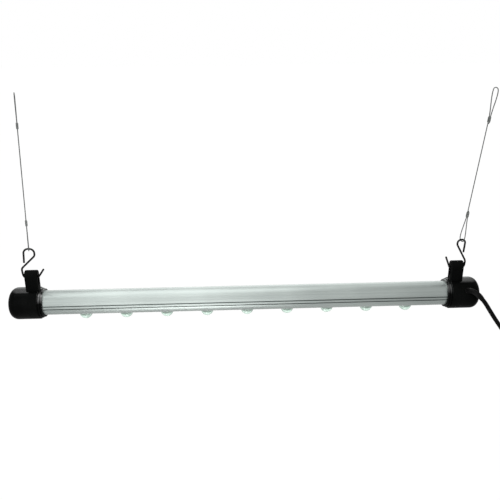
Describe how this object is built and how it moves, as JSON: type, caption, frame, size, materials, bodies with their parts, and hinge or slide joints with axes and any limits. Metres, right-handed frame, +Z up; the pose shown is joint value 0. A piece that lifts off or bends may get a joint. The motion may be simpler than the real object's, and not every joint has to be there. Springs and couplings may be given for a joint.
{
  "type": "led grow light bar",
  "caption": "Hanging LED grow light bar: a round aluminium tube with lenses along its underside, rubber end caps with hanger straps, S-hooks, steel wires and a corded plug.",
  "frame": {"origin": "midway between the two wire loops that ceiling hooks carry, at the height where the loops rest", "axes": "+X along the light bar towards the end with the cord, +Y away from the viewer, +Z up"},
  "size_m": [0.7026, 0.1037, 0.5435],
  "materials": {
    "anodised_aluminium": "clear anodised, satin, drawn along its length",
    "board_white": "white solder mask over aluminium",
    "boot_rubber": "moulded, flexible",
    "cap_rubber": "moulded, matt black",
    "capacitor_can": "sleeved can",
    "chip_black": "moulded epoxy",
    "circuit_board": "green solder mask",
    "clear_lens": "clear, polished, faintly green",
    "cord_sheath": "round flexible sheath",
    "cover_plastic": "extruded, light grey",
    "emitter": "yellow phosphor under a clear dome",
    "ferrite": "wound ring",
    "ferrule_aluminium": "pressed",
    "gland_plastic": "moulded",
    "hook_black": "black coated wire",
    "led_lead": "smooth insulation",
    "mains_lead": "smooth insulation",
    "pin_brass": "nickel plated",
    "plain_aluminium": "stamped sheet, mill finish",
    "plug_plastic": "moulded",
    "seal_rubber": "silicone ring",
    "steel_rope": "stranded, bare",
    "steel_screw": "zinc plated",
    "strap_rubber": "moulded, matt black",
    "tie_fabric": "hook-and-loop strap",
    "transformer_tape": "taped winding",
    "tray_plastic": "folded insulating sheet"
  },
  "bodies": {
    "hanging_wires": {"wire_rope_left": "steel_rope", "wire_rope_right": "steel_rope", "ferrule_lower_left": "ferrule_aluminium", "ferrule_lower_right": "ferrule_aluminium", "ferrule_upper_left": "ferrule_aluminium", "ferrule_upper_right": "ferrule_aluminium"},
    "left_hook": {"s_hook_left": "hook_black"},
    "right_hook": {"s_hook_right": "hook_black"},
    "left_hanger": {"hanger_strap_left": "strap_rubber"},
    "right_hanger": {"hanger_strap_right": "strap_rubber"},
    "light_bar": {"board_screws": "steel_screw", "cap_seal_left": "seal_rubber", "cap_seal_right": "seal_rubber", "cord_boot": "boot_rubber", "cord_coil": "cord_sheath", "cord_gland": "gland_plastic", "cord_tie": "tie_fabric", "driver_board": "circuit_board", "driver_capacitor": "capacitor_can", "driver_choke": "ferrite", "driver_rectifier": "chip_black", "driver_switch": "chip_black", "driver_transformer": "transformer_tape", "driver_tray": "tray_plastic", "end_cap_left": "cap_rubber", "end_cap_right": "cap_rubber", "end_plate_left": "plain_aluminium", "end_plate_right": "plain_aluminium", "end_plate_screws_left": "steel_screw", "end_plate_screws_right": "steel_screw", "gland_nut": "gland_plastic", "housing": "anodised_aluminium", "led_board": "board_white", "led_emitter_1": "emitter", "led_emitter_2": "emitter", "led_emitter_3": "emitter", "led_emitter_4": "emitter", "led_emitter_5": "emitter", "led_emitter_6": "emitter", "led_emitter_7": "emitter", "led_emitter_8": "emitter", "led_emitter_9": "emitter", "led_leads": "led_lead", "lens_1": "clear_lens", "lens_2": "clear_lens", "lens_3": "clear_lens", "lens_4": "clear_lens", "lens_5": "clear_lens", "lens_6": "clear_lens", "lens_7": "clear_lens", "lens_8": "clear_lens", "lens_9": "clear_lens", "lens_cover": "cover_plastic", "mains_leads": "mains_lead", "plug_body": "plug_plastic", "plug_boot": "boot_rubber", "plug_pins": "pin_brass", "power_cord": "cord_sheath"}
  },
  "joints": [
    {"name": "left_hook_swing", "type": "hinge", "parent": "hanging_wires", "child": "left_hook", "pos_m": [-0.27913, 0, -0.186], "axis": [1, 0, 0], "range_deg": [-35, 35]},
    {"name": "right_hook_swing", "type": "hinge", "parent": "hanging_wires", "child": "right_hook", "pos_m": [0.25407, 0, -0.186], "axis": [1, 0, 0], "range_deg": [-35, 35]},
    {"name": "left_strap_swing", "type": "hinge", "parent": "left_hook", "child": "left_hanger", "pos_m": [-0.28123, 0, -0.22445], "axis": [1, 0, 0], "range_deg": [-45, 45]},
    {"name": "right_strap_swing", "type": "hinge", "parent": "right_hook", "child": "right_hanger", "pos_m": [0.25277, 0, -0.22445], "axis": [1, 0, 0], "range_deg": [-45, 45]},
    {"name": "bar_turn", "type": "hinge", "parent": "left_hanger", "child": "light_bar", "pos_m": [-0.28123, 0, -0.262], "axis": [1, 0, 0], "range_deg": [-45, 45]}
  ],
  "couplings": [
    {"joint": "right_hook_swing", "follows": "left_hook_swing", "ratio": 1},
    {"joint": "right_strap_swing", "follows": "left_strap_swing", "ratio": 1}
  ]
}
